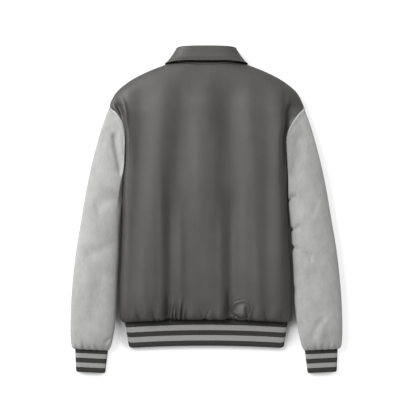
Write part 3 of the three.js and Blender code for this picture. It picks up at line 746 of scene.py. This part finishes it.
class Shade:
    """A shader socket that arithmetic works on."""

    def __init__(self, tree, socket):
        self.tree, self.socket = tree, socket

    def node(self, kind, inputs=(), output=0, **settings):
        """A new node in the same tree, with its inputs linked or set, as the output asked for."""
        made = self.tree.nodes.new("ShaderNode" + kind)
        for key, value in settings.items():
            setattr(made, key, value)
        for key, value in dict(inputs).items():
            if isinstance(value, Shade):
                self.tree.links.new(value.socket, made.inputs[key])
            else:
                made.inputs[key].default_value = value
        return Shade(self.tree, made.outputs[output])

    def math(self, operation, *values):
        return self.node("Math", enumerate(values), operation=operation)

    def __add__(self, other):
        return self.math("ADD", self, other)

    def __radd__(self, other):
        return self.math("ADD", other, self)

    def __sub__(self, other):
        return self.math("SUBTRACT", self, other)

    def __rsub__(self, other):
        return self.math("SUBTRACT", other, self)

    def __mul__(self, other):
        return self.math("MULTIPLY", self, other)

    def __rmul__(self, other):
        return self.math("MULTIPLY", other, self)

    def __truediv__(self, other):
        return self.math("DIVIDE", self, other)

    def wave(self, length):
        """A sine wave along this value, one wave in each length."""
        return self.math("SINE", self * (2 * math.pi / length))

    def between(self, low, high, new_low=0.0, new_high=1.0):
        """This value carried from low..high to new_low..new_high, and held at the ends."""
        inputs = {"Value": self, "From Min": low, "From Max": high, "To Min": new_low, "To Max": new_high}
        return self.node("MapRange", inputs, interpolation_type="SMOOTHSTEP")

    def noise(self, scale, detail=2.0, roughness=0.5, output="Fac"):
        inputs = {"Vector": self, "Scale": scale, "Detail": detail, "Roughness": roughness}
        return self.node("TexNoise", inputs, output=output)

    def stretched(self, *scale):
        return self.node("Mapping", {"Vector": self, "Scale": scale})

    def tint(self, dark, light):
        """A colour from dark to light by this value."""
        return self.node("Mix", {"Factor": self, 6: (*dark, 1), 7: (*light, 1)}, output=2, data_type="RGBA")


def srgb(*values):
    """A colour given as it looks on screen, 0 to 255, as linear numbers."""
    def linear(c):
        c /= 255
        return c / 12.92 if c <= 0.04045 else ((c + 0.055) / 1.055) ** 2.4
    return tuple(linear(c) for c in values)


def new_material(name, build):
    """A material whose Principled shader takes its varying inputs from build(coordinates, uv)."""
    material = bpy.data.materials.new(name)
    material.use_nodes = True
    tree = material.node_tree
    shader = tree.nodes["Principled BSDF"]
    place = tree.nodes.new("ShaderNodeTexCoord")
    varying, fixed = build(Shade(tree, place.outputs["Object"]), Shade(tree, place.outputs["UV"]))
    for key, value in varying.items():
        tree.links.new(value.socket, shader.inputs[key])
    for key, value in fixed.items():
        shader.inputs[key].default_value = value
    return material


def bumped(height, distance, strength=1.0, under=None):
    """The normal of a height in metres."""
    inputs = {"Height": height, "Distance": distance, "Strength": strength}
    if under is not None:
        inputs["Normal"] = under
    return height.node("Bump", inputs)


def leather(place, uv):
    cloud = place.noise(9, 3)
    streaks = place.stretched(1, 0.25, 1).noise(38, 4, 0.6)
    cells = place.node("TexVoronoi", {"Vector": place, "Scale": 760, "Randomness": 1}, output="Distance")
    pores = place.noise(1900, 2)
    creases = place.noise(120, 6, 0.62)
    tone = cloud * 0.55 + streaks * 0.3 + creases * 0.15
    colour = tone.between(0.3, 0.7).tint(srgb(53, 52, 50), srgb(64, 63, 61))
    roughness = (cloud * 0.5 + creases * 0.5).between(0.3, 0.7, 0.50, 0.60)
    grain = cells.between(0, 0.75) * 0.6 + pores * 0.25
    normal = bumped(grain, 0.00006, 0.5, bumped(creases, 0.0004, 0.35))
    return {"Base Color": colour, "Roughness": roughness, "Normal": normal}, {"Specular IOR Level": 0.42}


def suede(place, uv):
    cloud = place.noise(14, 3, 0.55)
    brushed = place.stretched(1, 0.55, 1).noise(60, 6, 0.68)
    nap = place.noise(620, 4, 0.7)
    tone = (cloud * 0.25 + brushed * 0.4 + nap * 0.35).between(0.34, 0.66, 0.0, 0.7)
    # Painted highlight: the suede is painted paler within 3 to 7 mm of the armhole seam, where the raised
    # welt catches the light
    painted_seam_highlight = uv.node("SeparateXYZ", {"Vector": uv}, output=1).between(0.003, 0.007, 1.0, 0.0)
    colour = tone.math("MAXIMUM", tone, painted_seam_highlight).tint(srgb(134, 134, 133), srgb(162, 162, 161))
    normal = bumped(nap, 0.0007, 0.5, bumped(brushed, 0.002, 0.35))
    roughness = brushed.between(0.3, 0.7, 0.86, 0.98)
    return ({"Base Color": colour, "Roughness": roughness, "Normal": normal},
            {"Specular IOR Level": 0.2, "Sheen Weight": 0.18, "Sheen Roughness": 0.6})


# One knitted loop, in metres
LOOP_WIDE, LOOP_HIGH = 0.00126, 0.0016


def rib_knit(bounds):
    """Rib knit with light stripes; bounds are where the stripes change, as shares of the band."""
    def build(place, uv):
        across, down = (uv.node("SeparateXYZ", {"Vector": uv}, output=k) for k in range(2))
        wobble = place.noise(420, 2) - 0.5
        share = down / bounds["length"] + wobble * 0.012
        stripe = share.math("GREATER_THAN", share, bounds["edges"][0])
        for k, edge in enumerate(bounds["edges"][1:]):
            over = share.math("GREATER_THAN", share, edge)
            stripe = stripe - over if k % 2 == 0 else stripe + over
        yarn = place.noise(900, 3, 0.6)
        knit = across.wave(LOOP_WIDE) * down.wave(LOOP_HIGH)
        shade = yarn.between(0.3, 0.7, 0.0, 1.0)
        dark = shade.tint(srgb(38, 37, 36), srgb(52, 51, 49))
        light = shade.tint(srgb(123, 123, 121), srgb(142, 142, 140))
        colour = uv.node("Mix", {"Factor": stripe, 6: dark, 7: light}, output=2, data_type="RGBA")
        normal = bumped(knit, 0.0002, 0.6, bumped(yarn, 0.0003, 0.4))
        roughness = yarn.between(0.3, 0.7, 0.85, 0.97)
        return ({"Base Color": colour, "Roughness": roughness, "Normal": normal},
                {"Specular IOR Level": 0.2, "Sheen Weight": 0.1})
    return build


def snap_metal(place, uv):
    worn = place.noise(900, 3)
    colour = worn.between(0.3, 0.7).tint(srgb(84, 82, 79), srgb(100, 98, 94))
    return ({"Base Color": colour, "Roughness": worn.between(0.3, 0.7, 0.3, 0.42)}, {"Metallic": 0.85})


def thread(place, uv):
    twist = place.noise(2400, 2)
    colour = twist.tint(srgb(70, 69, 67), srgb(92, 91, 88))
    return {"Base Color": colour}, {"Roughness": 0.7}


# The floor looks this far, and these three ways, for cloth beside it, and paints its shade from what it
# finds
REACH_OF_SHADE = 0.08
WAYS_TO_THE_OPEN = ((0.95, 0, 0.3), (-0.95, 0, 0.3), (0, 0.95, 0.3))


def floor_with_painted_shade(place, uv):
    """White paper that glows evenly with painted light in the open; the glow gives way to painted shade
    where cloth stands on both of its sides.
    """
    shades = []
    for way in WAYS_TO_THE_OPEN:
        inputs = {"Distance": REACH_OF_SHADE, "Normal": place.node("CombineXYZ", enumerate(way))}
        shades.append(place.node("AmbientOcclusion", inputs, output=1))
    open_side = place.math("MAXIMUM", shades[0], shades[1])
    open_side = place.math("MAXIMUM", open_side, shades[2])
    # Painted light and shade: the floor glows, and glows less where cloth closes it in on both sides
    painted_glow = open_side.between(0.6, 0.97)
    tone = place.noise(3, 1)
    return ({"Base Color": tone.tint(srgb(148, 148, 148), srgb(152, 152, 152)),
             "Emission Color": painted_glow.tint(srgb(0, 0, 0), srgb(221, 221, 221))},
            {"Roughness": 0.9, "Specular IOR Level": 0.0, "Emission Strength": 1.0})


HEM_STRIPES = {"length": 0.0657, "edges": (0.2, 0.4, 0.59, 0.79)}
CUFF_STRIPES = {"length": 0.0565, "edges": (0.16, 0.36, 0.57, 0.77)}
LEATHER_LOOK = new_material("leather", leather)
SUEDE_LOOK = new_material("suede", suede)
HEM_LOOK = new_material("hem_knit", rib_knit(HEM_STRIPES))
CUFF_LOOK = new_material("cuff_knit", rib_knit(CUFF_STRIPES))
SNAP_LOOK = new_material("snap_metal", snap_metal)
THREAD_LOOK = new_material("thread", thread)
FLOOR_LOOK = new_material("floor", floor_with_painted_shade)


# The jacket's pieces

def make_body():
    columns = spread(np.linspace(-1, 1, 271), 8)
    rows = stations((0, 1, 5), (1, 2, 7), (2, 3, 18), (3, 4, 16), (4, 7, 47),
                    (7, 8, 20), (8, 12, 43), (12, 15, 22))
    back = cloth("back_panel", back_surface, columns, rows, LEATHER, LEATHER_LOOK, ["back"])
    placket = OVERLAP + OVERLAP_RAMP

    def right(u, v):
        over_chest = mix(body("half", v), placket, 1 - spread(1 - u / 0.75))
        over_placket = mix(placket, -OVERLAP, (u - 0.75) * 4)
        return front_at(np.where(u > 0.75, over_placket, over_chest), v, True)

    def left(u, v):
        over_placket = mix(-OVERLAP, placket, u * 4)
        over_chest = mix(placket, body("half", v), spread((u - 0.25) / 0.75))
        return front_at(np.where(u < 0.25, over_placket, over_chest), v, False) * np.array([-1, 1, 1])

    rows = stations((0, 3, 16), (3, 8, 50), (8, 15, 60))
    across = np.linspace(0, 1, 97)
    for name, surface in (("front_right", right), ("front_left", left)):
        front = cloth(name + "_panel", surface, across, rows, LEATHER, LEATHER_LOOK, [name])


def make_sleeves():
    ring = np.concatenate([np.linspace(0, 0.5, 81), np.linspace(0.5, 1, 49)[1:]])
    rows = stations((0, 0.3, 10), (0.3, 1, 10), (1, 9, 130), (9, 10, 12), (10, 13, 44))

    def right(u, at):
        return sleeve_surface(1 - u, at, "right")

    def left(u, at):
        return sleeve_surface(u, at, "left") * np.array([-1, 1, 1])

    for name, surface, us in (("sleeve_right", right, 1 - ring[::-1]), ("sleeve_left", left, ring)):
        sleeve = cloth(name + "_cloth", surface, us, rows, SUEDE, SUEDE_LOOK, [name], closed=True)


def rib_relief(phase, rise):
    """Rounded ribs: phase counts them, rise is how far a rib stands over the groove."""
    return lambda u, v: rise * (np.abs(np.cos(math.pi * phase(u))) - 1)


def make_bands():
    rows = np.linspace(0, 1, 13)
    top = np.linspace(-1, 1, HEM_RIBS * COLUMNS_PER_RIB + 1)
    under = np.linspace(1, 2, 61)[1:]
    columns = np.concatenate([-under[::-1], top, under])
    ribs = rib_relief(lambda u: (np.clip(u, -1, 1) + 1) / 2 * HEM_RIBS, HEM_RIB_RISE)
    hem = cloth("hem_band", lambda u, t: hem_surface(u, 1 - t), columns, rows, RIB_WALL, HEM_LOOK,
                ["hem_rib"], relief=ribs)

    above = np.linspace(0, 0.5, CUFF_RIBS * COLUMNS_PER_RIB + 1)
    ring = np.concatenate([above, np.linspace(0.5, 1, 41)[1:]])
    left_ribs = rib_relief(lambda u: np.clip(u, 0, 0.5) * 2 * CUFF_RIBS, CUFF_RIB_RISE)

    def right(u, t):
        return cuff_surface(1 - u, t)

    def right_ribs(u, t):
        return left_ribs(1 - u, t)

    def left(u, t):
        return cuff_surface(u, t) * np.array([-1, 1, 1])

    for name, surface, columns, ribs in (("cuff_right", right, 1 - ring[::-1], right_ribs),
                                         ("cuff_left", left, ring, left_ribs)):
        cuff = cloth(name + "_band", surface, columns, rows, RIB_WALL, CUFF_LOOK,
                     [name], closed=True, relief=ribs)


def leaf_relief(u, v):
    """The leaf is a little hollow below its roll, with a sewn groove along its edge."""
    shape = LEAF_SHAPE
    fallen = np.clip((v - ROLL_SHARE) / (1 - ROLL_SHARE), 0, 1)
    from_edge = (1 - v) / (1 - ROLL_SHARE) * LEAF_FALL
    puff = shape["puff"] * smooth(fallen * 6)
    hollow = shape["hollow"] * np.sin(math.pi * fallen)
    groove = shape["groove"] * hump((from_edge - LEAF_STITCHING) / shape["groove_wide"])
    return puff - hollow - groove + shape["edge"] * smooth(1 - from_edge / shape["edge_wide"])


def make_collar():
    columns = np.linspace(-1, 1, 241)
    rows = stations((-0.12, 0, 6), (0, 0.44, 22), (0.44, 1, 8))
    stand = cloth("collar_stand_piece", stand_surface, columns, rows, LEATHER, LEATHER_LOOK,
                  ["collar_stand"])
    rows = stations((0, ROLL_SHARE, 14), (ROLL_SHARE, 0.8, 12), (0.8, 1, 24))

    def leaf_outside(u, v):
        return leaf_surface(-u, v)

    leaf = cloth("collar_leaf_piece", leaf_outside, columns, rows, COLLAR_LEAF, LEATHER_LOOK,
                 ["collar_leaf"], relief=leaf_relief)
    sewn = 1 - LEAF_STITCHING / LEAF_FALL * (1 - ROLL_SHARE)
    beside = np.array([sewn - 0.01, sewn, sewn + 0.01])
    line, facing = outer_side(leaf_outside, columns[2:-2], beside, leaf_relief)
    stitches("collar_stitching", line[1], facing[1], THREAD_LOOK)


def make_snaps():
    profile = [(0, 0.35), (4.6, 0.3), (5.4, 0.0), (6.6, 0.0),
               (SNAP_RADIUS, 0.5), (SNAP_RADIUS, SNAP_HEIGHT), (0, SNAP_HEIGHT)]
    for i in range(1, 8):
        low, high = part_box(f"snap_{i}")
        made = bmesh.new()
        ring = [made.verts.new((r * MM, 0, z * MM)) for r, z in profile]
        edges = [made.edges.new(pair) for pair in zip(ring, ring[1:])]
        bmesh.ops.spin(made, geom=[*ring, *edges], cent=(0, 0, 0), axis=(0, 0, 1),
                       angle=2 * math.pi, steps=40, use_merge=True)
        bmesh.ops.remove_doubles(made, verts=made.verts, dist=1e-7)
        bmesh.ops.recalc_face_normals(made, faces=made.faces)
        bmesh.ops.translate(made, verts=made.verts, vec=((low.x + high.x) / 2, (low.y + high.y) / 2, 0))
        piece = finished(f"snap_cap_{i}", made, SNAP_LOOK)
        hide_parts(f"snap_{i}")
        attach(piece, "root")


# Floor, light and camera, in metres
FLOOR_HALF, FLOOR_Z = 6, -0.0005
EYE, LENS = (0.004, 0.0044, 5), 172.4


def soft_light(name, place, size, watts):
    """A round white lamp that shines on the middle of the jacket."""
    light = bpy.data.lights.new(name, "AREA")
    light.shape, light.size, light.energy = "DISK", size, watts
    lamp = bpy.data.objects.new(name, light)
    lamp.location = place
    lamp.rotation_euler = (-Vector(place)).to_track_quat("-Z", "Y").to_euler()
    bpy.context.collection.objects.link(lamp)


def make_studio():
    made = bmesh.new()
    bmesh.ops.create_grid(made, x_segments=1, y_segments=1, size=FLOOR_HALF)
    bmesh.ops.translate(made, verts=made.verts, vec=(0, 0, FLOOR_Z))
    finished("floor", made, FLOOR_LOOK)

    world = bpy.data.worlds.new("studio")
    bpy.context.scene.world = world
    world.use_nodes = True
    background = world.node_tree.nodes["Background"]
    background.inputs["Color"].default_value = (1, 1, 1, 1)
    background.inputs["Strength"].default_value = 0.66
    soft_light("key", (-2.25, 2.0, 3.25), 1.6, 200)
    soft_light("side", (-3.9, 2.1, 1.75), 2.0, 86)

    camera = bpy.data.cameras.new("camera")
    camera.lens = LENS
    camera.clip_end = 50
    eye = bpy.data.objects.new("camera", camera)
    eye.location = EYE
    bpy.context.collection.objects.link(eye)
    bpy.context.scene.camera = eye
    bpy.context.scene.view_settings.view_transform = "Standard"


make_body()
make_sleeves()
make_bands()
make_collar()
make_snaps()
make_studio()
